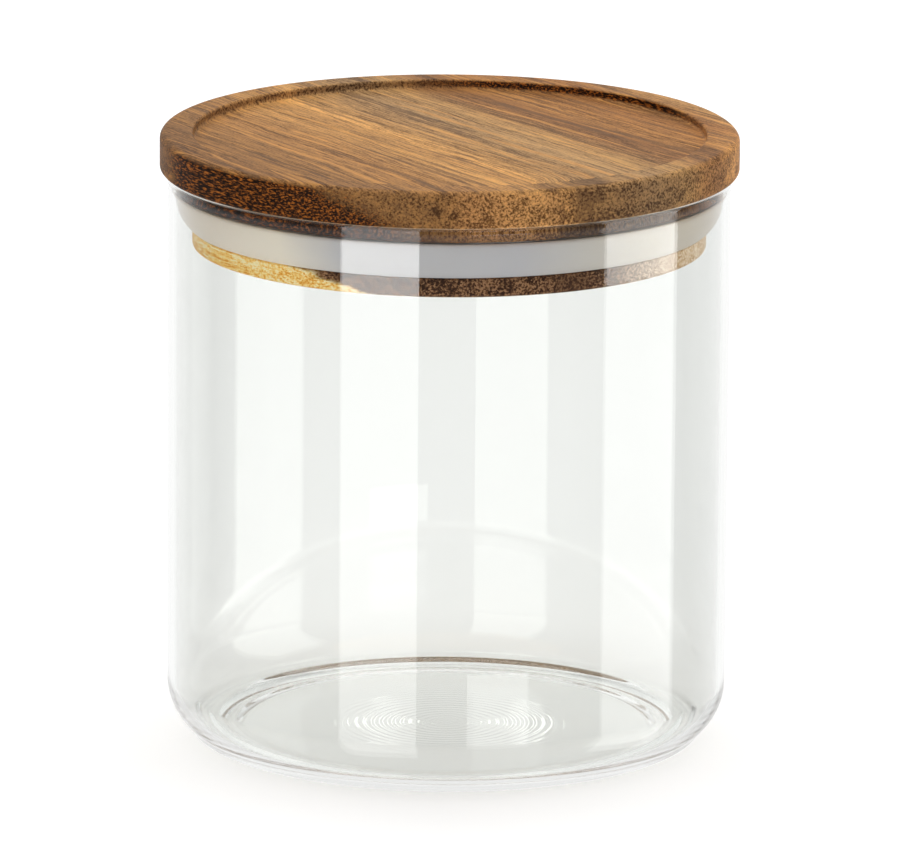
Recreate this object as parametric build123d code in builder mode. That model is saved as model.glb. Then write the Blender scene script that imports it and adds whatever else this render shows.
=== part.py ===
from build123d import *
import math
import os

# A straight-sided glass storage jar with a push-in lid turned from one piece of wood, and a
# silicone lip seal stretched into the groove round the lid's plug.
# Millimetres, +Z up. The origin is on the jar's axis, at the surface that the jar stands on.

# Glass body, blown from thin tube: a constant wall, and a base pushed up off the table
JAR_OUTER_DIAMETER = 100.0
JAR_HEIGHT = 103.2
JAR_WALL = 1.3
JAR_BASE = 1.3
BASE_CORNER_RADIUS = 10.0
PUSH_UP = 0.3
PUSH_UP_SLOPE = 2.5
FOOT_WIDTH = 1.5

# The heel is where the glass gathers: a low swell inside it and another outside. Each place is
# a distance along the section from where the corner's arc starts, and each reach is to one side
HEEL_SWELL = 0.9
HEEL_SWELL_PLACE = 2.0
HEEL_SWELL_REACH = 3.2
FOOT_SWELL = 0.5
FOOT_SWELL_PLACE = 5.2
FOOT_SWELL_REACH = 2.2

# Fire-polished rim: the melted edge swells outwards only, so the bore stays true
RIM_BEAD_SWELL = 0.2
RIM_BEAD_HEIGHT = 3.0
RIM_LAND = 0.2
RIM_INNER_ROUND = 0.5

# Wooden lid, top part
FLANGE_OVERHANG = 1.5
FLANGE_THICKNESS = 6.7
FLANGE_TOP_ROUND = 1.3
FLANGE_UNDER_ROUND = 0.7
TRAY_RIM_WIDTH = 5.9
TRAY_DEPTH = 1.6
TRAY_LIP_ROUND = 0.5
TRAY_FLOOR_FILLET = 0.7

# Wooden lid, plug that goes into the glass
NECK_HEIGHT = 3.1
NECK_GAP = 2.2
PLUG_RING_HEIGHT = 3.5
PLUG_GAP = 3.0
PLUG_TOP_CHAMFER = 0.3
PLUG_UNDER_ROUND = 0.6
GROOVE_DEPTH = 2.7

# Silicone seal: an inner band in the groove, and a flared lip that wipes the glass
SEAL_HEIGHT = 6.5
SEAL_LIP = 1.3
SEAL_WEB = 2.0
SEAL_VALLEY = 0.35
SEAL_FOOT_PROUD = 0.3
SEAL_BAND_CHAMFER = 0.3
SEAL_GLASS_CLEARANCE = 0.1
SEAL_GROOVE_CLEARANCE = 0.05

# Radii that follow from the glass
jar_radius = JAR_OUTER_DIAMETER / 2
bore_radius = jar_radius - JAR_WALL
foot_outer_radius = jar_radius - BASE_CORNER_RADIUS
foot_inner_radius = foot_outer_radius - FOOT_WIDTH
push_up_radius = foot_inner_radius - PUSH_UP_SLOPE
inner_corner_radius = BASE_CORNER_RADIUS - JAR_WALL

# Radii of the lid and the seal, each set off from what it fits
flange_radius = jar_radius + FLANGE_OVERHANG
tray_radius = flange_radius - TRAY_RIM_WIDTH
neck_radius = bore_radius - NECK_GAP
plug_radius = bore_radius - PLUG_GAP
groove_radius = plug_radius - GROOVE_DEPTH
band_inner_radius = groove_radius + SEAL_GROOVE_CLEARANCE
lip_radius = bore_radius - SEAL_GLASS_CLEARANCE
seal_foot_radius = plug_radius + SEAL_FOOT_PROUD
lip_root_radius = seal_foot_radius - SEAL_LIP
band_outer_radius = lip_root_radius - SEAL_VALLEY

# Levels, from the rim that the flange rests on
rim_level = JAR_HEIGHT
lid_top_level = rim_level + FLANGE_THICKNESS
tray_level = lid_top_level - TRAY_DEPTH
neck_level = rim_level - NECK_HEIGHT
seal_top_level = neck_level - SEAL_GROOVE_CLEARANCE
seal_foot_level = seal_top_level - SEAL_HEIGHT
groove_level = seal_foot_level - SEAL_GROOVE_CLEARANCE
plug_level = groove_level - PLUG_RING_HEIGHT

OUTWARD = (1, 0)
UPWARD = (0, 1)
DOWNWARD = (0, -1)

# Glass body: half section from the axis, along the underside, up the wall and back inside
rim_outer_round = JAR_WALL + RIM_BEAD_SWELL - RIM_LAND - RIM_INNER_ROUND
bead_foot_level = rim_level - RIM_BEAD_HEIGHT
bead_crest_level = rim_level - rim_outer_round
bead_radius = jar_radius + RIM_BEAD_SWELL
bead_turn = ((jar_radius + bead_radius) / 2, (bead_foot_level + bead_crest_level) / 2)
bore_top_level = rim_level - RIM_INNER_ROUND
floor_level = PUSH_UP + JAR_BASE
inner_corner_level = floor_level + inner_corner_radius
flank_middle = ((push_up_radius + foot_inner_radius) / 2, PUSH_UP / 2)

SWELL_STEPS = 8


def swell_line(start, radius, height, place, reach):
    """A smooth swell, up for a positive height, on a level line that turns up into an arc.

    start is where the arc of that radius leaves the level line. Returns the line's two ends
    with their directions, and the points between them."""
    points, directions = [], []
    for step in range(SWELL_STEPS + 1):
        away = 2 * step / SWELL_STEPS - 1
        run = place + away * reach
        turn = max(run, 0) / radius
        x = start[0] + min(run, 0) + radius * math.sin(turn)
        z = start[1] + radius * (1 - math.cos(turn))
        lift = height * (1 + math.cos(math.pi * away)) / 2
        points.append((x - lift * math.sin(turn), z + lift * math.cos(turn)))
        directions.append((math.cos(turn), math.sin(turn)))
    return points, (directions[0], directions[-1])


foot_corner = (foot_outer_radius, 0)
foot_swell, foot_ends = swell_line(
    foot_corner, BASE_CORNER_RADIUS, -FOOT_SWELL, FOOT_SWELL_PLACE, FOOT_SWELL_REACH
)
heel_corner = (foot_outer_radius, floor_level)
heel_swell, heel_ends = swell_line(
    heel_corner, inner_corner_radius, HEEL_SWELL, HEEL_SWELL_PLACE, HEEL_SWELL_REACH
)

with BuildPart() as glass_jar:
    with BuildSketch(Plane.XZ):
        with BuildLine():
            Line((0, PUSH_UP), (push_up_radius, PUSH_UP))
            slope = TangentArc((push_up_radius, PUSH_UP), flank_middle, tangent=OUTWARD)
            TangentArc(flank_middle, (foot_inner_radius, 0), tangent=slope % 1)
            Line((foot_inner_radius, 0), foot_corner)
            TangentArc(foot_corner, foot_swell[0], tangent=OUTWARD)
            Spline(*foot_swell, tangents=foot_ends)
            TangentArc(foot_swell[-1], (jar_radius, BASE_CORNER_RADIUS), tangent=foot_ends[1])
            Line((jar_radius, BASE_CORNER_RADIUS), (jar_radius, bead_foot_level))
            swell = TangentArc((jar_radius, bead_foot_level), bead_turn, tangent=UPWARD)
            TangentArc(bead_turn, (bead_radius, bead_crest_level), tangent=swell % 1)
            rim_outer = (bead_radius - rim_outer_round, rim_level)
            TangentArc((bead_radius, bead_crest_level), rim_outer, tangent=UPWARD)
            rim_inner = (bore_radius + RIM_INNER_ROUND, rim_level)
            Line(rim_outer, rim_inner)
            TangentArc((bore_radius, bore_top_level), rim_inner, tangent=UPWARD)
            Line((bore_radius, bore_top_level), (bore_radius, inner_corner_level))
            TangentArc(heel_swell[-1], (bore_radius, inner_corner_level), tangent=heel_ends[1])
            Spline(*heel_swell, tangents=heel_ends)
            Line(heel_swell[0], (0, floor_level))
            Line((0, floor_level), (0, PUSH_UP))
        make_face()
    revolve(axis=Axis.Z)

# Wooden lid: one turning, with the tray sunk in its top and the seal's groove in its plug
lid_outline = [
    (0, plug_level),
    (plug_radius, plug_level),
    (plug_radius, groove_level),
    (groove_radius, groove_level),
    (groove_radius, neck_level),
    (neck_radius, neck_level),
    (neck_radius, rim_level),
    (flange_radius, rim_level),
    (flange_radius, lid_top_level),
    (tray_radius, lid_top_level),
    (tray_radius, tray_level),
    (0, tray_level),
]

rounded_corners = [
    (plug_radius, plug_level, PLUG_UNDER_ROUND),
    (flange_radius, rim_level, FLANGE_UNDER_ROUND),
    (flange_radius, lid_top_level, FLANGE_TOP_ROUND),
    (tray_radius, lid_top_level, TRAY_LIP_ROUND),
    (tray_radius, tray_level, TRAY_FLOOR_FILLET),
]

with BuildPart() as wooden_lid:
    with BuildSketch(Plane.XZ) as lid_section:
        with BuildLine():
            Polyline(*lid_outline, close=True)
        make_face()
        for radius, level, size in rounded_corners:
            fillet(lid_section.vertices().sort_by_distance((radius, level))[0], radius=size)
        ring_edge = lid_section.vertices().sort_by_distance((plug_radius, groove_level))[0]
        chamfer(ring_edge, length=PLUG_TOP_CHAMFER)
    revolve(axis=Axis.Z)

# Silicone seal: the band and the lip stand side by side on one web, with a V between them
# that opens upwards, so the lip can fold in as the lid is pressed home
lip_inner_radius = lip_radius - SEAL_LIP
lip_tip_level = seal_top_level - SEAL_LIP / 2
valley_level = seal_foot_level + SEAL_WEB
valley_radius = band_outer_radius + SEAL_VALLEY / 2
valley_bottom = valley_level - SEAL_VALLEY / 2

with BuildPart() as lid_seal:
    with BuildSketch(Plane.XZ) as seal_section:
        with BuildLine():
            Line((band_inner_radius, seal_foot_level), (seal_foot_radius, seal_foot_level))
            TangentArc(
                (lip_radius, lip_tip_level), (seal_foot_radius, seal_foot_level), tangent=DOWNWARD
            )
            ThreePointArc(
                (lip_radius, lip_tip_level),
                (lip_radius - SEAL_LIP / 2, seal_top_level),
                (lip_inner_radius, lip_tip_level),
            )
            TangentArc(
                (lip_inner_radius, lip_tip_level), (lip_root_radius, valley_level), tangent=DOWNWARD
            )
            ThreePointArc(
                (lip_root_radius, valley_level),
                (valley_radius, valley_bottom),
                (band_outer_radius, valley_level),
            )
            Line((band_outer_radius, valley_level), (band_outer_radius, seal_top_level))
            Line((band_outer_radius, seal_top_level), (band_inner_radius, seal_top_level))
            Line((band_inner_radius, seal_top_level), (band_inner_radius, seal_foot_level))
        make_face()
        for radius, level in (
            (band_outer_radius, seal_top_level),
            (band_inner_radius, seal_top_level),
            (band_inner_radius, seal_foot_level),
            (seal_foot_radius, seal_foot_level),
        ):
            corner = seal_section.vertices().sort_by_distance((radius, level))[0]
            chamfer(corner, length=SEAL_BAND_CHAMFER)
    revolve(axis=Axis.Z)

glass_jar.part.label = "glass_jar"
wooden_lid.part.label = "wooden_lid"
lid_seal.part.label = "lid_seal"

os.makedirs("parts", exist_ok=True)
export_step(glass_jar.part, "parts/glass_jar.step")
export_step(wooden_lid.part, "parts/wooden_lid.step")
export_step(lid_seal.part, "parts/lid_seal.step")

print("lid radius", flange_radius, "height", lid_top_level, "plug foot", plug_level)
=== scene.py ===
import bpy
import cmath
import math
from mathutils import Matrix, Vector


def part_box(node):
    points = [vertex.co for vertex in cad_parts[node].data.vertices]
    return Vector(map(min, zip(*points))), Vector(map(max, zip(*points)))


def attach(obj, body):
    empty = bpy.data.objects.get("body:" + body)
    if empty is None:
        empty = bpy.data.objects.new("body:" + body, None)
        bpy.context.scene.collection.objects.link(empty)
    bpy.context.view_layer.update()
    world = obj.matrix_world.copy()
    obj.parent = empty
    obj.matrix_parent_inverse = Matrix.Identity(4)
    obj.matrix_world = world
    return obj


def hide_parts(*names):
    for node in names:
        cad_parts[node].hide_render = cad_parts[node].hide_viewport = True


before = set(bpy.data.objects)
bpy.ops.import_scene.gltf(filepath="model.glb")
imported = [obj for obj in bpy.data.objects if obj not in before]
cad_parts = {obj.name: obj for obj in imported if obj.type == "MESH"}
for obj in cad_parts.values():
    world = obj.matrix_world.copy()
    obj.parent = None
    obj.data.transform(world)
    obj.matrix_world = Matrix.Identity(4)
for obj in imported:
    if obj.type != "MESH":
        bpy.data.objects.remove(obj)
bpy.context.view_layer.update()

MM = 0.001

# Sizes of the glass that its node's box doesn't give
JAR_OUTER_RADIUS = 50 * MM
JAR_WALL = 1.3 * MM
JAR_BASE = 1.3 * MM
BASE_CORNER_RADIUS = 10 * MM
INNER_CORNER_RADIUS = 8.7 * MM
PUSH_UP = 0.3 * MM
PUSH_UP_RADIUS = 36 * MM
FOOT_INNER_RADIUS = 38.5 * MM
HEEL_SWELL = 0.9 * MM
HEEL_SWELL_PLACE = 2 * MM
HEEL_SWELL_REACH = 3.2 * MM
FOOT_SWELL = 0.5 * MM
FOOT_SWELL_PLACE = 5.2 * MM
FOOT_SWELL_REACH = 2.2 * MM
RIM_BEAD_HEIGHT = 3 * MM
RIM_OUTER_ROUND = 0.8 * MM
RIM_INNER_ROUND = 0.5 * MM

# Faint round ripples on the inside of the floor, which break up what it mirrors
RIPPLE_PITCH = 1.5 * MM
RIPPLE_HEIGHT = 0.006 * MM
RIPPLE_REACH = 24 * MM

# The lid
TRAY_RIM_WIDTH = 5.9 * MM
TRAY_DEPTH = 1.6 * MM
FLANGE_TOP_ROUND = 1.3 * MM
FLANGE_UNDER_ROUND = 0.7 * MM
TRAY_LIP_ROUND = 0.5 * MM
TRAY_FLOOR_FILLET = 0.7 * MM
NECK_RADIUS = 46.5 * MM
PLUG_RADIUS = 45.7 * MM
GROOVE_RADIUS = 43 * MM
PLUG_TOP_CHAMFER = 0.3 * MM
PLUG_UNDER_ROUND = 0.6 * MM
SEAT_AIR = 0.03 * MM

# The seal
SEAL_PLAY = 0.05 * MM
SEAL_THICKNESS = 1.3 * MM
SEAL_WEB = 2 * MM
SEAL_FOOT_PROUD = 0.3 * MM
SEAL_ROUND = 0.3 * MM

# How many steps each turning, arc, slope or long straight stretch is made of
AROUND = 288
CORNER_STEPS = 80
FLANK_STEPS = 24
HEEL_FLOOR_STEPS = 40
RIPPLE_STEPS = 150
WALL_STEPS = 6
FLAT_STEPS = 4
ROUND_STEPS = 8
BEAD_STEPS = 6
RIM_STEPS = 10
FLANGE_TOP_STEPS = 12
SEAL_FACE_STEPS = 24
SEAL_TIP_STEPS = 12
SEAL_ROOT_STEPS = 16
SEAL_VALLEY_STEPS = 10
SEAL_FOOT_STEPS = 6
SEAL_ROUND_STEPS = 5
SHORT_STEP = 0.05 * MM

# Faces that meet at more than this stay sharp, and a radius under this is on the axis
SHARP_ANGLE = math.radians(40)
ON_AXIS = 0.0001 * MM

# Directions in a section, whose points are radius + height * 1j
OUTWARD, INWARD, UPWARD, DOWNWARD = 1, -1, 1j, -1j


def tangent_arc(start, end, heading, count):
    """Points of the arc that leaves start along heading and ends at end, without start."""
    chord = end - start
    side = (chord * heading.conjugate()).imag
    along = (chord * heading.conjugate()).real
    turn = 2 * math.atan2(side, along)
    sweep = cmath.exp(1j * turn) - 1
    return [start + chord * (cmath.exp(1j * turn * k / count) - 1) / sweep for k in range(1, count + 1)]


def stretch(start, end, count=1):
    """Evenly spaced points of a straight stretch, without start."""
    return [start + (end - start) * k / count for k in range(1, count + 1)]


def wall(start, end, count=1):
    """A straight stretch, without start. Its short end steps keep smooth shading flat between them."""
    edge = (end - start) / abs(end - start) * SHORT_STEP
    return [start + edge, *stretch(start + edge, end - edge, count), end]


def flank(start, end, count):
    """An S-shaped slope between two level stretches, without start."""
    points = []
    for k in range(1, count + 1):
        fall = (1 - math.cos(math.pi * k / count)) / 2
        level = start.imag * (1 - fall) + end.imag * fall
        points.append(start.real + (end.real - start.real) * k / count + 1j * level)
    return points


def swelled(points, height, place, reach):
    """Lifts part of a line to its left, smoothly round a place that is given as a distance along it."""
    run, lifted = 0, []
    for k, point in enumerate(points):
        before, after = points[max(k - 1, 0)], points[min(k + 1, len(points) - 1)]
        run += abs(point - before)
        away = min(abs(run - place) / reach, 1)
        lift = height * (1 + math.cos(math.pi * away)) / 2
        lifted.append(point + 1j * (after - before) / abs(after - before) * lift)
    return lifted


def turned_rings(outline):
    """The vertices of a section turned about Z, and each of its points' ring of vertex numbers."""
    verts, rings = [], []
    for point in outline:
        if abs(point.real) < ON_AXIS:
            rings.append([len(verts)] * AROUND)
            verts.append((0, 0, point.imag))
            continue
        rings.append([len(verts) + k for k in range(AROUND)])
        for k in range(AROUND):
            angle = 2 * math.pi * k / AROUND
            verts.append((point.real * math.cos(angle), point.real * math.sin(angle), point.imag))
    return verts, rings


def lathe(name, outline):
    """A smooth piece: a closed section turned about Z."""
    verts, rings = turned_rings(outline)
    faces = []
    for i, ring in enumerate(rings):
        after = rings[(i + 1) % len(rings)]
        if ring[0] == ring[1] and after[0] == after[1]:
            continue
        for k in range(AROUND):
            j = (k + 1) % AROUND
            corners = (ring[k], ring[j], after[j], after[k])
            faces.append(list(dict.fromkeys(corners)))
    mesh = bpy.data.meshes.new(name)
    mesh.from_pydata(verts, [], faces)
    mesh.validate()
    mesh.shade_smooth()
    mesh.set_sharp_from_angle(angle=SHARP_ANGLE)
    piece = bpy.data.objects.new(name, mesh)
    bpy.context.scene.collection.objects.link(piece)
    return piece


def stand_for(piece, node, body, material):
    """The piece takes a CAD node's place, body and slot."""
    piece.data.materials.append(material)
    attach(piece, body)
    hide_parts(node)


def foot_line():
    """The underside of the glass, from the axis along the push-up and round the foot to the wall."""
    line = [1j * PUSH_UP]
    line += stretch(line[-1], PUSH_UP_RADIUS + 1j * PUSH_UP, FLAT_STEPS)
    line += flank(line[-1], FOOT_INNER_RADIUS + 0j, FLANK_STEPS)
    corner = [JAR_OUTER_RADIUS - BASE_CORNER_RADIUS + 0j]
    corner += tangent_arc(corner[0], JAR_OUTER_RADIUS + 1j * BASE_CORNER_RADIUS, OUTWARD, CORNER_STEPS)
    return line + swelled(corner, -FOOT_SWELL, FOOT_SWELL_PLACE, FOOT_SWELL_REACH)


def rim_line(bead_foot, bead, rim, bore):
    """The rim of the glass, from the foot of its bead up and over to the bore, without its start."""
    bead_crest = bead + 1j * (rim - RIM_OUTER_ROUND)
    bead_turn = (bead_foot + bead_crest) / 2
    swell = tangent_arc(bead_foot, bead_turn, UPWARD, BEAD_STEPS)
    line = swell + [bead_foot + bead_crest - p for p in [bead_foot] + swell[:-1]][::-1]
    line += tangent_arc(bead_crest, bead - RIM_OUTER_ROUND + 1j * rim, UPWARD, RIM_STEPS)
    line += stretch(line[-1], bore + RIM_INNER_ROUND + 1j * rim)
    line += tangent_arc(line[-1], bore + 1j * (rim - RIM_INNER_ROUND), INWARD, ROUND_STEPS)
    return line


def heel_line(bore, floor_level):
    """The inside of the heel, from the level floor out and up to the bore."""
    heel_start = bore - INNER_CORNER_RADIUS
    line = [PUSH_UP_RADIUS + 1j * floor_level]
    line += stretch(line[0], heel_start + 1j * floor_level, HEEL_FLOOR_STEPS)
    line += tangent_arc(line[-1], bore + 1j * (floor_level + INNER_CORNER_RADIUS), OUTWARD, CORNER_STEPS)
    swell_place = heel_start - PUSH_UP_RADIUS + HEEL_SWELL_PLACE
    return swelled(line, HEEL_SWELL, swell_place, HEEL_SWELL_REACH)


def rippled_floor(start, floor_level):
    """The inside of the floor, from start in to the axis, without its start."""
    ripples = stretch(1j * floor_level, RIPPLE_REACH + 1j * floor_level, RIPPLE_STEPS)
    line = stretch(start, ripples[-1], FLAT_STEPS)
    for point in ripples[-2::-1]:
        crest = RIPPLE_HEIGHT * math.sin(math.pi * (point.real / RIPPLE_REACH))
        height = crest * math.cos(2 * math.pi * point.real / RIPPLE_PITCH)
        line.append(point + 1j * height)
    line.append(1j * floor_level)
    return line


def glass_piece():
    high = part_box("glass_jar")[1]
    bore = JAR_OUTER_RADIUS - JAR_WALL
    floor_level = PUSH_UP + JAR_BASE
    bead_foot = JAR_OUTER_RADIUS + 1j * (high.z - RIM_BEAD_HEIGHT)
    heel = heel_line(bore, floor_level)
    outline = foot_line()
    outline += wall(outline[-1], bead_foot, WALL_STEPS)
    outline += rim_line(bead_foot, high.x, high.z, bore)
    outline += wall(outline[-1], heel[-1], WALL_STEPS)
    outline += heel[-2::-1]
    outline += rippled_floor(outline[-1], floor_level)
    return lathe("clear_glass_jar", outline)


def plug_line(foot, groove, neck, rim):
    """The plug, from the axis along its underside and up past the seal's groove to the rim's level."""
    line = [1j * foot]
    line += wall(line[-1], PLUG_RADIUS - PLUG_UNDER_ROUND + 1j * foot, FLAT_STEPS)
    line += tangent_arc(line[-1], PLUG_RADIUS + 1j * (foot + PLUG_UNDER_ROUND), OUTWARD, ROUND_STEPS)
    line += wall(line[-1], PLUG_RADIUS + 1j * (groove - PLUG_TOP_CHAMFER))
    line += stretch(line[-1], PLUG_RADIUS - PLUG_TOP_CHAMFER + 1j * groove)
    line += stretch(line[-1], GROOVE_RADIUS + 1j * groove)
    line += stretch(line[-1], GROOVE_RADIUS + 1j * neck)
    line += stretch(line[-1], NECK_RADIUS + 1j * neck)
    line += stretch(line[-1], NECK_RADIUS + 1j * rim)
    return line


def flange_line(start, rim, top, flange):
    """The flange and the tray, from the neck out, up and in to the axis, without its start."""
    tray, tray_edge = top - TRAY_DEPTH, flange - TRAY_RIM_WIDTH
    line = stretch(start, flange - FLANGE_UNDER_ROUND + 1j * rim)
    line += tangent_arc(line[-1], flange + 1j * (rim + FLANGE_UNDER_ROUND), OUTWARD, ROUND_STEPS)
    line += wall(line[-1], flange + 1j * (top - FLANGE_TOP_ROUND))
    line += tangent_arc(line[-1], flange - FLANGE_TOP_ROUND + 1j * top, UPWARD, FLANGE_TOP_STEPS)
    line += wall(line[-1], tray_edge + TRAY_LIP_ROUND + 1j * top)
    line += tangent_arc(line[-1], tray_edge + 1j * (top - TRAY_LIP_ROUND), INWARD, ROUND_STEPS)
    line += stretch(line[-1], tray_edge + 1j * (tray + TRAY_FLOOR_FILLET))
    line += tangent_arc(line[-1], tray_edge - TRAY_FLOOR_FILLET + 1j * tray, DOWNWARD, ROUND_STEPS)
    line += wall(line[-1], 1j * tray, FLAT_STEPS)
    return line


def lid_piece():
    low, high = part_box("wooden_lid")
    seal_low, seal_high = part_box("lid_seal")
    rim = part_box("glass_jar")[1].z + SEAT_AIR
    outline = plug_line(low.z, seal_low.z - SEAL_PLAY, seal_high.z + SEAL_PLAY, rim)
    outline += flange_line(outline[-1], rim, high.z, high.x)
    return lathe("acacia_lid", outline)


def seal_piece():
    low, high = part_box("lid_seal")
    foot, top, lip = low.z, high.z, high.x
    band_inner = GROOVE_RADIUS + SEAL_PLAY
    band_outer = band_inner + SEAL_THICKNESS
    foot_outer = PLUG_RADIUS + SEAL_FOOT_PROUD
    tip = lip + 1j * (top - SEAL_THICKNESS / 2)
    valley = foot + SEAL_WEB
    root = foot_outer - SEAL_THICKNESS
    face = tangent_arc(tip, foot_outer + 1j * foot, DOWNWARD, SEAL_FACE_STEPS)
    outline = [band_inner + SEAL_ROUND + 1j * foot]
    outline += stretch(outline[-1], foot_outer - SEAL_ROUND + 1j * foot)
    outline += tangent_arc(outline[-1], face[-2], OUTWARD, SEAL_FOOT_STEPS)
    outline += face[-3::-1]
    outline.append(tip)
    outline += tangent_arc(outline[-1], tip - SEAL_THICKNESS, UPWARD, SEAL_TIP_STEPS)
    outline += tangent_arc(outline[-1], root + 1j * valley, DOWNWARD, SEAL_ROOT_STEPS)
    outline += tangent_arc(outline[-1], band_outer + 1j * valley, DOWNWARD, SEAL_VALLEY_STEPS)
    outline += stretch(outline[-1], band_outer + 1j * (top - SEAL_ROUND))
    outline += tangent_arc(outline[-1], band_outer - SEAL_ROUND + 1j * top, UPWARD, SEAL_ROUND_STEPS)
    outline += stretch(outline[-1], band_inner + SEAL_ROUND + 1j * top)
    outline += tangent_arc(outline[-1], band_inner + 1j * (top - SEAL_ROUND), INWARD, SEAL_ROUND_STEPS)
    outline += stretch(outline[-1], band_inner + 1j * (foot + SEAL_ROUND))
    outline += tangent_arc(outline[-1], outline[0], DOWNWARD, SEAL_ROUND_STEPS)[:-1]
    return lathe("silicone_seal", outline)


def srgb(red, green, blue):
    """A colour written as 8-bit display values, as the linear four values that nodes take."""
    def one(value):
        value /= 255
        return value / 12.92 if value <= 0.04045 else ((value + 0.055) / 1.055) ** 2.4
    return one(red), one(green), one(blue), 1


NOISE_MIDDLE = 0.5


class Sheet:
    """The node sheet of one material or world, with a short call for each kind of node."""

    def __init__(self, owner):
        owner.use_nodes = True
        self.owner = owner
        self.nodes, self.links = owner.node_tree.nodes, owner.node_tree.links

    def feed(self, socket, value):
        if isinstance(value, bpy.types.NodeSocket):
            self.links.new(value, socket)
        else:
            socket.default_value = value

    def node(self, kind, inputs, **settings):
        node = self.nodes.new("ShaderNode" + kind)
        for name, value in settings.items():
            setattr(node, name, value)
        for name, value in inputs.items():
            self.feed(node.inputs[name], value)
        return node

    def math(self, operation, *values):
        return self.node("Math", dict(enumerate(values)), operation=operation).outputs[0]

    def times(self, value, factor):
        return self.math("MULTIPLY", value, factor)

    def hypotenuse(self, first, second):
        squares = self.math("ADD", self.math("POWER", first, 2.0), self.math("POWER", second, 2.0))
        return self.math("SQRT", squares)

    def parts(self, vector):
        return tuple(self.node("SeparateXYZ", {"Vector": vector}).outputs)

    def in_millimetres(self, place):
        return [self.times(part, 1 / MM) for part in self.parts(place)]

    def noise(self, place, scales, detail=2.0, roughness=0.5):
        """Noise over three coordinates, each with a scale of its own."""
        x, y, z = (self.times(part, scale) for part, scale in zip(place, scales))
        where = self.node("CombineXYZ", {"X": x, "Y": y, "Z": z}).outputs[0]
        inputs = {"Vector": where, "Scale": 1, "Detail": detail, "Roughness": roughness}
        return self.node("TexNoise", inputs).outputs["Fac"]

    def weigh(self, noise, gain, total):
        """Adds a noise to a total, so that the noise's middle changes nothing."""
        return self.math("MULTIPLY_ADD", self.math("SUBTRACT", noise, NOISE_MIDDLE), gain, total)

    def fade(self, value, low, high, start=0.0, end=1.0, curve="SMOOTHSTEP"):
        """Goes from start, where the value is low, to end, where it is high."""
        inputs = {"Value": value, "From Min": low, "From Max": high, "To Min": start, "To Max": end}
        return self.node("MapRange", inputs, interpolation_type=curve).outputs["Result"]

    def ramp(self, value, stops):
        """Colours along a value, as pairs of a place and a colour."""
        node = self.node("ValToRGB", {"Fac": value})
        elements = node.color_ramp.elements
        while len(elements) < len(stops):
            elements.new(0.5)
        for element, (place, colour) in zip(elements, stops):
            element.position = place
            element.color = colour
        return node.outputs["Color"]

    def mix(self, share, a, b, blend="MIX"):
        node = self.nodes.new("ShaderNodeMix")
        node.data_type = "RGBA"
        node.blend_type = blend
        node.clamp_factor = True
        self.feed(node.inputs["Factor"], share)
        self.feed([s for s in node.inputs if s.name == "A" and s.type == "RGBA"][0], a)
        self.feed([s for s in node.inputs if s.name == "B" and s.type == "RGBA"][0], b)
        return [s for s in node.outputs if s.type == "RGBA"][0]

    def tint(self, share, colour, factors):
        """The colour times factors, as far as share says."""
        return self.mix(share, colour, self.mix(1.0, colour, factors, "MULTIPLY"))

    def bump(self, relief, strength, distance):
        inputs = {"Height": relief, "Strength": strength, "Distance": distance}
        return self.node("Bump", inputs).outputs["Normal"]

    def layered(self, share, under, over):
        """Two shaders, the second as far as share says."""
        return self.node("MixShader", {0: share, 1: under, 2: over}).outputs["Shader"]

    def dress(self, **sockets):
        """Sets the material's main shader, and returns it."""
        shader = self.nodes["Principled BSDF"]
        for name, value in sockets.items():
            self.feed(shader.inputs[name.replace("_", " ")], value)
        return shader.outputs["BSDF"]

    def show(self, shader, output):
        self.links.new(shader, self.nodes[output].inputs["Surface"])


# Clear glass, and what shadows and scattered light see of it
GLASS_COLOUR = (0.965, 0.975, 0.96, 1)
GLASS_SHADE = (0.96, 0.965, 0.96, 1)
GLASS_IOR = 1.47


def glass_material():
    sheet = Sheet(bpy.data.materials.new("clear_glass"))
    shader = sheet.dress(Base_Color=GLASS_COLOUR, Roughness=0, IOR=GLASS_IOR, Transmission_Weight=1)
    clear = sheet.node("BsdfTransparent", {"Color": GLASS_SHADE}).outputs["BSDF"]
    path = sheet.nodes.new("ShaderNodeLightPath")
    for ray in ("Is Shadow Ray", "Is Diffuse Ray"):
        shader = sheet.layered(path.outputs[ray], shader, clear)
    sheet.show(shader, "Material Output")
    return sheet.owner


# The board that the lid is turned from. Places and ranges in it are in millimetres. Seen from above,
# its fibres run FIBRE_ANGLE from +X, and the tree's heart lies HEART_HEIGHT above the ground
FIBRE_ANGLE = math.radians(-56.5)
FIBRES_RUN = (math.cos(FIBRE_ANGLE), math.sin(FIBRE_ANGLE), 0)
HEART_HEIGHT = 165.0
FAN_PER_MM = -0.0012
WANDER_WIDTH = 7.0

# How finely each kind of mark repeats, per millimetre along the fibres, across them and upwards
WANDER = {"scales": (0.014, 0.06, 0.05), "detail": 3.0}
BANDS = {"scales": (0.004, 0.42, 0.0), "detail": 3.0, "roughness": 0.6}
STREAKS = {"scales": (0.010, 0.34, 0.34), "detail": 3.0, "roughness": 0.6}
LINES = {"scales": (0.016, 0.8, 0.8), "roughness": 0.6}
FIBRES = {"scales": (0.09, 2.6, 2.6), "detail": 3.0, "roughness": 0.7}
PORES = {"scales": (0.42, 4.4, 4.4), "detail": 1.0}
SPECKS = {"scales": (2.4, 2.4, 2.4)}
FLECKS = {"scales": (0.6, 3.6, 3.6), "roughness": 0.6}

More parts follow.
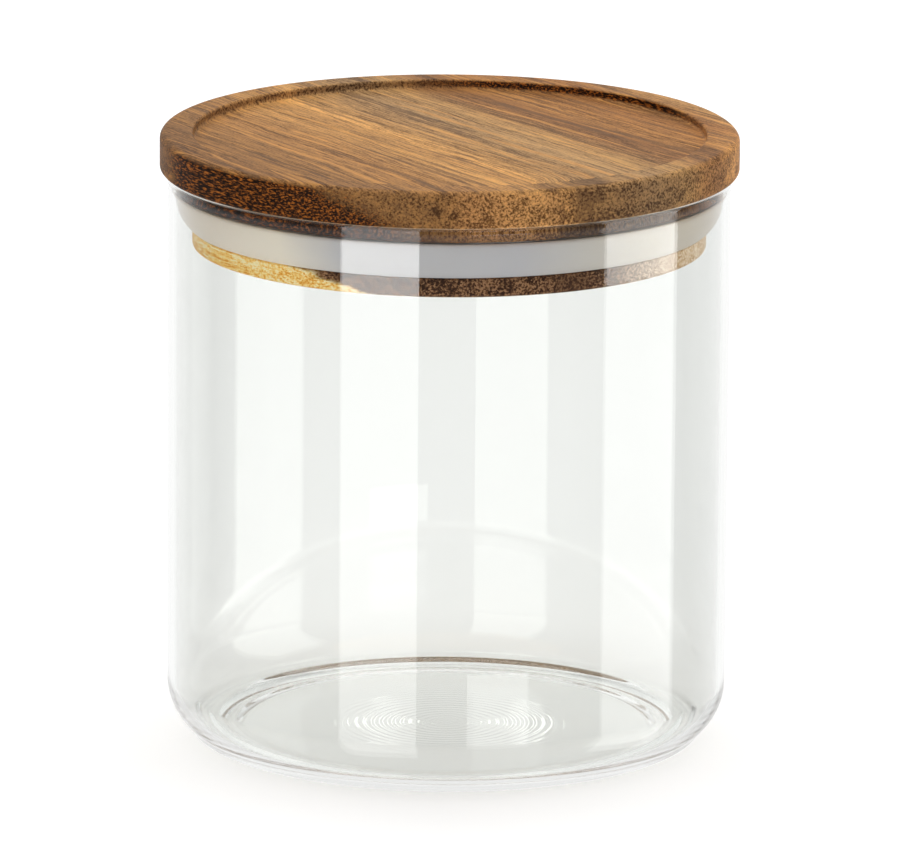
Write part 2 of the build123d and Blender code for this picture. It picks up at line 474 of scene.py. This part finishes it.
# How much each kind of mark lightens and darkens the board. End grain cuts open more pores
BAND_TONE = 0.7
STREAK_TONE = 1.0
FIBRE_TONE = 1.5
PORE_TONE = 0.9
SPECK_TONE = 0.8
END_GRAIN_SPECK_TONE = 2.0
TONES = [
    (0.0, (0.26, 0.22, 0.18, 1)), (0.3, (0.60, 0.55, 0.48, 1)), (0.5, (1, 1, 1, 1)),
    (0.72, (1.28, 1.25, 1.15, 1)), (1.0, (1.6, 1.55, 1.35, 1)),
]

# Broad zones of colour across the board, from the front left to the back right
HALF_BOARD = 52.0
BOARD_ZONES = [
    (0.02, srgb(142, 100, 58)), (0.16, srgb(150, 108, 64)), (0.28, srgb(164, 118, 70)),
    (0.38, srgb(186, 138, 82)), (0.425, srgb(176, 130, 78)), (0.452, srgb(204, 152, 90)),
    (0.475, srgb(180, 136, 84)), (0.52, srgb(170, 130, 84)), (0.58, srgb(168, 132, 90)),
    (0.66, srgb(172, 132, 84)), (0.72, srgb(150, 106, 64)), (0.765, srgb(134, 92, 54)),
    (0.81, srgb(168, 118, 66)), (0.90, srgb(154, 104, 58)), (0.98, srgb(178, 134, 84)),
]

# Long thin lines, where their noise is low or high
DARK_LINES = (0.38, 0.42)
DARK_LINE_SHARE = 0.55
DARK_LINE_COLOUR = srgb(104, 76, 52)
GOLD_LINES = (0.59, 0.63)
GOLD_LINE_SHARE = 0.4
GOLD_LINE_COLOUR = srgb(232, 166, 88)

# A small knot near the front right of the rim
KNOT_RIGHT = 22.0
KNOT_FRONT = 42.0
KNOT_DEPTH_SHARE = 0.75
KNOT_REACH = 12.0
KNOT_FULL = 2.0
KNOT_PULL = 0.35
KNOT_CORE = (3.0, 6.5)
KNOT_SHARE = 0.5
KNOT_COLOUR = srgb(70, 44, 26)

# How far the grain frays the borders of the knot, the heartwood with its painted shade, and the sapwood
KNOT_RAGGED_LINES = 12.0
RAGGED_FIBRES = 6.0
RAGGED_STREAKS = 3.0
RAGGED_PORES = 3.0

# End grain drinks oil and is darker. The far right and a stretch of the front edge are lighter
SOAKED_ENDS = (38.0, 48.0)
SOAKED_TINT = (0.5, 0.49, 0.52, 1)
PALE_EDGE = (44.0, 51.0)
PALE_EDGE_SHARE = 0.5
PALE_EDGE_TINT = (1.55, 1.7, 1.9, 1)
LIGHT_STRETCH_START = (-2.0, 5.0)
LIGHT_STRETCH_END = (17.0, 25.0)
LIGHT_STRETCH_FRONT = (-30.0, -20.0)
LIGHT_STRETCH_TINT = (1.6, 1.6, 1.65, 1)

# Dark heartwood low at the front left, and pale sapwood under it, start this far from the tree's
# heart. The same dark shows on upright faces at the back right. The dark lies on upright faces only,
# and there it is partly heartwood and partly painted shade
LEFT_SIDE = (-30.0, -14.0)
HEARTWOOD_AND_SHADE = (69.0, 72.5)
SAPWOOD = (82.0, 83.2)
HEART_AND_SHADE_FAR_LEFT = (-50.5, -47.0)
HEART_AND_SHADE_FAR_LEFT_SHARE = 0.3
HEART_AND_SHADE_BACK = (5.0, 25.0)
HEART_AND_SHADE_RIGHT = (-8.0, 8.0)
HEARTWOOD_AND_SHADE_COLOURS = [(0.36, srgb(14, 6, 1)), (0.5, srgb(52, 25, 4)), (0.66, srgb(166, 94, 30))]
SAPWOOD_COLOURS = [
    (0.2, srgb(232, 156, 56)), (0.5, srgb(255, 214, 124)), (0.8, srgb(255, 240, 190)),
]

# The plug, and the side of it that is pale
PLUG_LEVEL = (96.0, 101.0)
PLUG_COLOURS = [
    (0.2, srgb(48, 26, 12)), (0.5, srgb(98, 66, 42)), (0.8, srgb(160, 118, 84)),
]
PALE_SIDE = (24.0, 44.0)
PALE_COLOURS = [
    (0.2, srgb(206, 168, 124)), (0.5, srgb(236, 206, 168)), (0.8, srgb(250, 232, 204)),
]

# How far up a face looks, as its normal's Z, where it counts as upright or as the underside
UPRIGHT = (0.3, 0.9)
UNDERSIDE = (-0.95, -0.6)
# Painted light: faces that look down are painted this pale colour, against their shade
UNDERSIDE_PAINTED_LIGHT_SHARE = 0.6
UNDERSIDE_PAINTED_LIGHT_COLOUR = srgb(226, 196, 158)

# The surface: satin oil over fibres that stand a little proud
WOOD_ROUGHNESS = 0.5
WOOD_ROUGHNESS_DRIFT = 0.16
WOOD_SPECULAR = 0.12
WOOD_RELIEF = 0.12 * MM
WOOD_RELIEF_STRENGTH = 0.3
FIBRE_RELIEF = 0.5


class Board(Sheet):
    """The lid's wood, as one solid whose colours depend on the place in it and the way it is cut."""

    def __init__(self):
        super().__init__(bpy.data.materials.new("oiled_acacia"))
        place = self.nodes.new("ShaderNodeTexCoord")
        self.right, self.back = self.in_millimetres(place.outputs["Object"])[:2]
        self.normal = place.outputs["Normal"]
        fibres = self.node("Mapping", {
            "Vector": place.outputs["Object"],
            "Rotation": (0, 0, -FIBRE_ANGLE),
            "Scale": (1 / MM, 1 / MM, 1 / MM),
        }).outputs["Vector"]
        self.along, self.across, self.height = self.parts(fibres)
        self.set_cut()
        self.set_rings()
        self.set_grain()

    def set_cut(self):
        """How the surface cuts the board: end grain, long grain, and which way it faces."""
        inputs = {0: self.normal, 1: FIBRES_RUN}
        facing = self.node("VectorMath", inputs, operation="DOT_PRODUCT").outputs["Value"]
        self.end_grain = self.math("POWER", facing, 2.0)
        self.long_grain = self.math("SUBTRACT", 1.0, self.end_grain)
        self.lying = self.parts(self.normal)[2]
        self.upright = self.fade(self.lying, *UPRIGHT, 1.0, 0.0)

    def set_rings(self):
        """The sideways place of every fibre, which wanders and bends round the knot, and its ring."""
        fan = self.math("MULTIPLY_ADD", self.along, FAN_PER_MM, 1.0)
        wander = self.noise((self.along, self.across, self.height), **WANDER)
        side = self.weigh(wander, WANDER_WIDTH, self.times(self.across, fan))
        knot_side = self.math("SUBTRACT", self.right, KNOT_RIGHT)
        knot_depth = self.times(self.math("ADD", self.back, KNOT_FRONT), KNOT_DEPTH_SHARE)
        self.knot_far = self.hypotenuse(knot_side, knot_depth)
        knot = self.fade(self.knot_far, KNOT_FULL, KNOT_REACH, 1.0, 0.0)
        bend = self.times(self.math("SUBTRACT", KNOT_REACH, self.knot_far), knot)
        self.side = self.math("MULTIPLY_ADD", bend, KNOT_PULL, side)
        self.ring = self.hypotenuse(self.side, self.math("SUBTRACT", HEART_HEIGHT, self.height))

    def set_grain(self):
        """The marks that run along the fibres, and the tone that they add up to."""
        fibre_place = (self.along, self.side, self.height)
        bands = self.noise((self.along, self.ring, self.height), **BANDS)
        self.streaks = self.noise(fibre_place, **STREAKS)
        self.lines = self.noise(fibre_place, **LINES)
        self.fibres = self.noise(fibre_place, **FIBRES)
        self.pores = self.noise(fibre_place, **PORES)
        specks = self.noise((self.right, self.back, self.height), **SPECKS)
        speck_tone = self.math("MULTIPLY_ADD", self.end_grain, END_GRAIN_SPECK_TONE, SPECK_TONE)
        tone = self.weigh(bands, BAND_TONE, NOISE_MIDDLE)
        tone = self.weigh(self.streaks, STREAK_TONE, tone)
        tone = self.weigh(self.fibres, FIBRE_TONE, tone)
        tone = self.weigh(self.pores, PORE_TONE, tone)
        self.tone = self.weigh(specks, speck_tone, tone)

    def plain_colour(self):
        """The board's zones, toned by the grain, with dark and golden lines that end grain cuts short."""
        zone_place = self.fade(self.side, -HALF_BOARD, HALF_BOARD, curve="LINEAR")
        zone, tones = self.ramp(zone_place, BOARD_ZONES), self.ramp(self.tone, TONES)
        colour = self.mix(1.0, zone, tones, "MULTIPLY")
        dark = self.times(self.fade(self.lines, *DARK_LINES, DARK_LINE_SHARE, 0.0), self.long_grain)
        colour = self.mix(dark, colour, DARK_LINE_COLOUR)
        gold = self.times(self.fade(self.lines, *GOLD_LINES, 0.0, GOLD_LINE_SHARE), self.long_grain)
        return self.mix(gold, colour, GOLD_LINE_COLOUR)

    def with_edges(self, colour):
        """Darkens the end grain, and lightens the far right and a stretch of the front edge."""
        soaked = self.times(self.end_grain, self.fade(self.right, *SOAKED_ENDS, 1.0, 0.0))
        colour = self.tint(soaked, colour, SOAKED_TINT)
        pale_edge = self.fade(self.right, *PALE_EDGE, 0.0, PALE_EDGE_SHARE)
        colour = self.tint(pale_edge, colour, PALE_EDGE_TINT)
        start = self.fade(self.right, *LIGHT_STRETCH_START)
        ends = self.times(start, self.fade(self.right, *LIGHT_STRETCH_END, 1.0, 0.0))
        front = self.times(self.upright, self.fade(self.back, *LIGHT_STRETCH_FRONT, 1.0, 0.0))
        return self.tint(self.times(ends, front), colour, LIGHT_STRETCH_TINT)

    def heartwood_and_shade(self, ragged, left):
        """How far an upright face is dark heartwood and painted shade, low at the front left and at the
        back right.
        """
        edge = self.weigh(self.pores, RAGGED_PORES, self.weigh(self.fibres, RAGGED_FIBRES, ragged))
        heart_and_shade = self.times(self.fade(edge, *HEARTWOOD_AND_SHADE), left)
        heart_and_shade = self.times(heart_and_shade, self.fade(self.right, *HEART_AND_SHADE_FAR_LEFT, HEART_AND_SHADE_FAR_LEFT_SHARE, 1.0))
        heart_and_shade = self.times(heart_and_shade, self.upright)
        far = self.times(self.fade(self.back, *HEART_AND_SHADE_BACK), self.fade(self.right, *HEART_AND_SHADE_RIGHT))
        return self.math("MAXIMUM", heart_and_shade, self.times(self.upright, far))

    def with_heartwood_and_shade(self, colour, ragged, left):
        # The dark heartwood colours also stand in for shade: painted shade on the upright faces
        flecks = self.noise((self.along, self.across, self.height), **FLECKS)
        return self.mix(self.heartwood_and_shade(ragged, left), colour, self.ramp(flecks, HEARTWOOD_AND_SHADE_COLOURS))

    def with_plug(self, colour, sap):
        """The plug's front is brown but for its sapwood, and its right side pale."""
        low = self.fade(self.height, *PLUG_LEVEL, 1.0, 0.0)
        brown = self.times(low, self.math("SUBTRACT", 1.0, sap))
        colour = self.mix(brown, colour, self.ramp(self.tone, PLUG_COLOURS))
        pale = self.times(low, self.fade(self.right, *PALE_SIDE))
        return self.mix(pale, colour, self.ramp(self.tone, PALE_COLOURS))

    def with_knot(self, colour):
        ragged = self.weigh(self.fibres, RAGGED_FIBRES, self.knot_far)
        core = self.fade(self.weigh(self.lines, KNOT_RAGGED_LINES, ragged), *KNOT_CORE, 1.0, 0.0)
        return self.mix(self.times(core, KNOT_SHARE), colour, KNOT_COLOUR)


def wood_material():
    board = Board()
    ragged = board.weigh(board.streaks, RAGGED_STREAKS, board.ring)
    left = board.fade(board.side, *LEFT_SIDE, 1.0, 0.0)
    sap = board.times(board.fade(ragged, *SAPWOOD), left)
    colour = board.with_edges(board.plain_colour())
    # Dark heartwood with painted shade on upright faces at the front left and the back right
    colour = board.with_heartwood_and_shade(colour, ragged, left)
    colour = board.mix(sap, colour, board.ramp(board.tone, SAPWOOD_COLOURS))
    colour = board.with_plug(colour, sap)

    # Faces that look down are painted pale: painted light that lifts the shade under the flange, which the
    # glass mirrors
    painted_under_light = board.times(board.fade(board.lying, *UNDERSIDE, 1.0, 0.0), UNDERSIDE_PAINTED_LIGHT_SHARE)
    colour = board.with_knot(board.mix(painted_under_light, colour, UNDERSIDE_PAINTED_LIGHT_COLOUR))

    relief = board.math("ADD", board.times(board.fibres, FIBRE_RELIEF), board.pores)
    board.dress(Base_Color=colour, Specular_IOR_Level=WOOD_SPECULAR,
                Roughness=board.math("MULTIPLY_ADD", board.fibres, WOOD_ROUGHNESS_DRIFT, WOOD_ROUGHNESS),
                Normal=board.bump(relief, WOOD_RELIEF_STRENGTH, WOOD_RELIEF))
    return board.owner


# The silicone's colour holds painted light and painted show-through: pale and warm on its left, where
# light falls and pale wood shows through it, warm on its right, and grey in front of the dark wood.
# Its colours run from its left side to its right, and its noises repeat per millimetre
SEAL_HALF_WIDTH = 48.0
SEAL_DRIFT = 14.0
SEAL_CLOUDS = {"scales": (0.05, 0.05, 0.05)}
SEAL_FINE = {"scales": (1.2, 1.2, 1.2), "detail": 3.0}
SEAL_COLOURS_WITH_PAINTED_LIGHT = [
    (0.0, srgb(236, 224, 210)), (0.20, srgb(240, 230, 214)), (0.30, srgb(198, 196, 198)),
    (0.6, srgb(196, 194, 198)), (0.86, srgb(214, 206, 192)), (1.0, srgb(216, 204, 190)),
]
SEAL_ROUGHNESS = 0.38
SEAL_ROUGHNESS_DRIFT = 0.14
SEAL_RELIEF = 0.05 * MM
SEAL_RELIEF_STRENGTH = 0.15
SEAL_SCATTER = 0.35
SEAL_SCATTER_REACH = 1.2 * MM
SEAL_SCATTER_COLOURS = (1.0, 0.9, 0.8)


def seal_material():
    sheet = Sheet(bpy.data.materials.new("clear_silicone"))
    place = sheet.nodes.new("ShaderNodeTexCoord")
    place_mm = sheet.in_millimetres(place.outputs["Object"])
    where = sheet.weigh(sheet.noise(place_mm, **SEAL_CLOUDS), SEAL_DRIFT, place_mm[0])
    share = sheet.fade(where, -SEAL_HALF_WIDTH, SEAL_HALF_WIDTH, curve="LINEAR")
    fine = sheet.noise(place_mm, **SEAL_FINE)
    # Painted light: the colour is pale and warm on the left, where light falls and pale wood shows through
    sheet.dress(Base_Color=sheet.ramp(share, SEAL_COLOURS_WITH_PAINTED_LIGHT),
                Roughness=sheet.math("MULTIPLY_ADD", fine, SEAL_ROUGHNESS_DRIFT, SEAL_ROUGHNESS),
                Normal=sheet.bump(fine, SEAL_RELIEF_STRENGTH, SEAL_RELIEF),
                Subsurface_Weight=SEAL_SCATTER, Subsurface_Radius=SEAL_SCATTER_COLOURS,
                Subsurface_Scale=SEAL_SCATTER_REACH)
    return sheet.owner


# The photograph's view: a long lens, a little above the lid, rolled a fraction of a degree
CAMERA_DISTANCE = 1.9767
CAMERA_ELEVATION = math.radians(13.44)
CAMERA_ROLL = math.radians(0.42)
CAMERA_TARGET = Vector((0.0004, 0, 0.0554))
CAMERA_LENS_MM = 442.6
CAMERA_SENSOR_MM = 36
CAMERA_CLIP = (0.05, 50)


def aim(place, target):
    return Matrix.Translation(place) @ (target - place).to_track_quat("-Z", "Y").to_matrix().to_4x4()


def add_camera():
    back = Vector((0, -math.cos(CAMERA_ELEVATION), math.sin(CAMERA_ELEVATION)))
    data = bpy.data.cameras.new("camera")
    data.sensor_width = CAMERA_SENSOR_MM
    data.lens = CAMERA_LENS_MM
    data.clip_start, data.clip_end = CAMERA_CLIP
    camera = bpy.data.objects.new("camera", data)
    bpy.context.scene.collection.objects.link(camera)
    aimed = aim(CAMERA_TARGET + back * CAMERA_DISTANCE, CAMERA_TARGET)
    camera.matrix_world = aimed @ Matrix.Rotation(CAMERA_ROLL, 4, "Z")
    bpy.context.scene.camera = camera


WHITE = (1, 1, 1, 1)

# The world's even light, and what rays through the glass and the camera's own rays meet
EVEN_LIGHT = 0.42
THROUGH_GLASS_LIGHT = 0.9
THROUGH_GLASS_COLOUR = (1, 1, 0.985, 1)
BACKGROUND_LIGHT = 1.0

# What mirrored rays meet. Depth and height are the Y and Z of a ray's direction
ROOM_LIGHT = 0.04
BACKDROP_DEPTH = (0.4, 0.88)
BACKDROP_HEIGHT = (0.75, 0.35)
BACKDROP_LIGHT = (0.3, 0.95)
TABLE_HEIGHT = (-0.21, -0.42)
TABLE_LIGHT = 0.85


def mirrored_light(sheet):
    """White behind the object, dimmer higher up, a pale table below and a dark room elsewhere."""
    place = sheet.nodes.new("ShaderNodeTexCoord")
    depth, height = sheet.parts(place.outputs["Generated"])[1:]
    behind = sheet.fade(depth, *BACKDROP_DEPTH, curve="LINEAR")
    backdrop = sheet.fade(height, *BACKDROP_HEIGHT, *BACKDROP_LIGHT, curve="LINEAR")
    room = sheet.math("MULTIPLY_ADD", behind, backdrop, ROOM_LIGHT)
    table = sheet.fade(height, *TABLE_HEIGHT, 0.0, TABLE_LIGHT, curve="LINEAR")
    return sheet.math("MAXIMUM", room, table)


def add_world():
    """Even light from all round, with a light of its own for each kind of ray that shows the world."""
    world = bpy.data.worlds.new("studio")
    bpy.context.scene.world = world
    sheet = Sheet(world)
    path = sheet.nodes.new("ShaderNodeLightPath")

    def light(colour, strength):
        return sheet.node("Background", {"Color": colour, "Strength": strength}).outputs["Background"]

    shader = light(WHITE, EVEN_LIGHT)
    for ray, seen in (
        ("Is Transmission Ray", light(THROUGH_GLASS_COLOUR, THROUGH_GLASS_LIGHT)),
        ("Glossy Depth", light(WHITE, mirrored_light(sheet))),
        ("Is Camera Ray", light(WHITE, BACKGROUND_LIGHT)),
    ):
        shader = sheet.layered(path.outputs[ray], shader, seen)
    sheet.show(shader, "World Output")


# The floor, and how far it is lifted to white where it is seen, seen through glass, or far off
FLOOR_HALF = 12
FLOOR_COLOUR = (0.9, 0.9, 0.9, 1)
FLOOR_ROUGHNESS = 0.9
SEEN_LIFT = 0.25
THROUGH_GLASS_LIFT = 0.1
FAR_LIFT = 0.3
FAR_OFF = (0.5, 1.6)


def floor_material():
    """White, and clear to rays that have met a mirror, so that lamps below the floor show in the glass."""
    sheet = Sheet(bpy.data.materials.new("white_floor"))
    path = sheet.nodes.new("ShaderNodeLightPath")
    place = sheet.nodes.new("ShaderNodeTexCoord")
    away = sheet.node("VectorMath", {0: place.outputs["Object"]}, operation="LENGTH").outputs["Value"]
    far = sheet.fade(away, *FAR_OFF, 0.0, FAR_LIFT)
    seen_through = sheet.math("ADD", far, THROUGH_GLASS_LIFT)
    through_glass = sheet.times(path.outputs["Is Transmission Ray"], seen_through)
    seen = sheet.math("ADD", far, SEEN_LIFT)
    lift = sheet.math("MULTIPLY_ADD", path.outputs["Is Camera Ray"], seen, through_glass)
    shader = sheet.dress(Base_Color=FLOOR_COLOUR, Roughness=FLOOR_ROUGHNESS, Specular_IOR_Level=0.0,
                         Emission_Color=WHITE, Emission_Strength=lift)
    clear = sheet.node("BsdfTransparent", {}).outputs["BSDF"]
    sheet.show(sheet.layered(path.outputs["Glossy Depth"], shader, clear), "Material Output")
    return sheet.owner


def add_floor():
    corners = [(x * FLOOR_HALF, y * FLOOR_HALF, 0) for x, y in ((-1, -1), (1, -1), (1, 1), (-1, 1))]
    mesh = bpy.data.meshes.new("floor")
    mesh.from_pydata(corners, [], [(0, 1, 2, 3)])
    floor = bpy.data.objects.new("floor", mesh)
    bpy.context.scene.collection.objects.link(floor)
    mesh.materials.append(floor_material())


# Two tall softboxes stand round the object, and their mirror images are the glass's white strips.
# Azimuth 0 is the camera's side and 90 is +X, in degrees. Lights are radiances
SOFTBOX_DISTANCE = 1.3
SOFTBOX_HEIGHT = 0.2
SOFTBOX_TALL = 2.4
LEFT_AZIMUTH = -28
LEFT_WIDTH = 0.75
LEFT_LIGHT = 1.7
RIGHT_AZIMUTH = 86
RIGHT_WIDTH = 0.93
RIGHT_LIGHT = 1.65
TOP_PLACE = (0, 0.3, 1.6)
TOP_SIZE = 1.5
TOP_LIGHT = 2.3

# Curved rows of low cards. How far a row lies below the floor sets how high on the upright glass it
# is mirrored: two rows brighten the strips at the seal, and one makes a strip over the base
CARDS_IN_ROW = 4
CARD_DISTANCE = 1.28
SEAL_CARD_HEIGHT = -0.168
SEAL_CARD_TALL = 0.04
LEFT_CARD_HALF_ANGLE = 16.1
LEFT_CARD_LIGHT = 3.0
RIGHT_CARD_HALF_ANGLE = 19.7
RIGHT_CARD_LIGHT = 2.0
BASE_CARD_HEIGHT = -0.345
BASE_CARD_TALL = 0.09
BASE_CARD_AZIMUTH = 21
BASE_CARD_HALF_ANGLE = 12.5
BASE_CARD_LIGHT = 1.4

# Two small lamps far behind, which the rippled floor of the glass mirrors
SPARK_WIDTH = 0.012
SPARK_TALL = 0.02
SPARK_DEPTH = 1.46
SPARK_HEIGHT = 0.39
LEFT_SPARK_PLACE = -0.024
RIGHT_SPARK_PLACE = 0.0315
SPARK_LIGHT = 1.4


def add_softbox(name, place, target, width, tall, radiance):
    data = bpy.data.lights.new(name, "AREA")
    data.shape = "RECTANGLE"
    data.size, data.size_y = width, tall
    data.energy = radiance * math.pi * width * tall
    lamp = bpy.data.objects.new(name, data)
    bpy.context.scene.collection.objects.link(lamp)
    lamp.matrix_world = aim(Vector(place), Vector(target))
    lamp.visible_camera = False
    return lamp


def add_side_softbox(name, azimuth, distance, height, width, tall, radiance):
    """A standing softbox that faces the object's axis."""
    turn = math.radians(azimuth)
    place = (math.sin(turn) * distance, -math.cos(turn) * distance, height)
    return add_softbox(name, place, (0, 0, height), width, tall, radiance)


def add_low_cards(name, azimuth, half_angle, height, tall, radiance):
    """A row of cards that touch, on an arc round the object's axis."""
    width = 2 * CARD_DISTANCE * math.tan(math.radians(half_angle / CARDS_IN_ROW))
    for k in range(CARDS_IN_ROW):
        turn = azimuth + half_angle * (2 * k + 1 - CARDS_IN_ROW) / CARDS_IN_ROW
        add_side_softbox(f"{name}_{k + 1}", turn, CARD_DISTANCE, height, width, tall, radiance)


def add_spark(name, side):
    place = (side, SPARK_DEPTH, SPARK_HEIGHT)
    spark = add_softbox(name, place, (0, 0, 0), SPARK_WIDTH, SPARK_TALL, SPARK_LIGHT)
    spark.data.shape = "ELLIPSE"


def add_lamps():
    for name, azimuth, width, light in (
        ("softbox_left", LEFT_AZIMUTH, LEFT_WIDTH, LEFT_LIGHT),
        ("softbox_right", RIGHT_AZIMUTH, RIGHT_WIDTH, RIGHT_LIGHT),
    ):
        add_side_softbox(name, azimuth, SOFTBOX_DISTANCE, SOFTBOX_HEIGHT, width, SOFTBOX_TALL, light)
    add_softbox("softbox_top", TOP_PLACE, (0, 0, 0), TOP_SIZE, TOP_SIZE, TOP_LIGHT)
    add_low_cards("seal_card_left", LEFT_AZIMUTH, LEFT_CARD_HALF_ANGLE,
                  SEAL_CARD_HEIGHT, SEAL_CARD_TALL, LEFT_CARD_LIGHT)
    add_low_cards("seal_card_right", RIGHT_AZIMUTH, RIGHT_CARD_HALF_ANGLE,
                  SEAL_CARD_HEIGHT, SEAL_CARD_TALL, RIGHT_CARD_LIGHT)
    add_low_cards("base_card", BASE_CARD_AZIMUTH, BASE_CARD_HALF_ANGLE,
                  BASE_CARD_HEIGHT, BASE_CARD_TALL, BASE_CARD_LIGHT)
    add_spark("spark_left", LEFT_SPARK_PLACE)
    add_spark("spark_right", RIGHT_SPARK_PLACE)


# Clear glass needs many bounces, or its thick edges go black
GLASS_BOUNCES = 120
CLEAR_BOUNCES = 16


def set_render():
    scene = bpy.context.scene
    scene.view_settings.view_transform = "Standard"
    scene.cycles.max_bounces = GLASS_BOUNCES
    scene.cycles.transmission_bounces = GLASS_BOUNCES
    scene.cycles.glossy_bounces = GLASS_BOUNCES
    scene.cycles.transparent_max_bounces = CLEAR_BOUNCES


add_camera()
add_world()
add_floor()
add_lamps()
stand_for(glass_piece(), "glass_jar", "jar", glass_material())
stand_for(lid_piece(), "wooden_lid", "lid", wood_material())
stand_for(seal_piece(), "lid_seal", "seal", seal_material())
set_render()
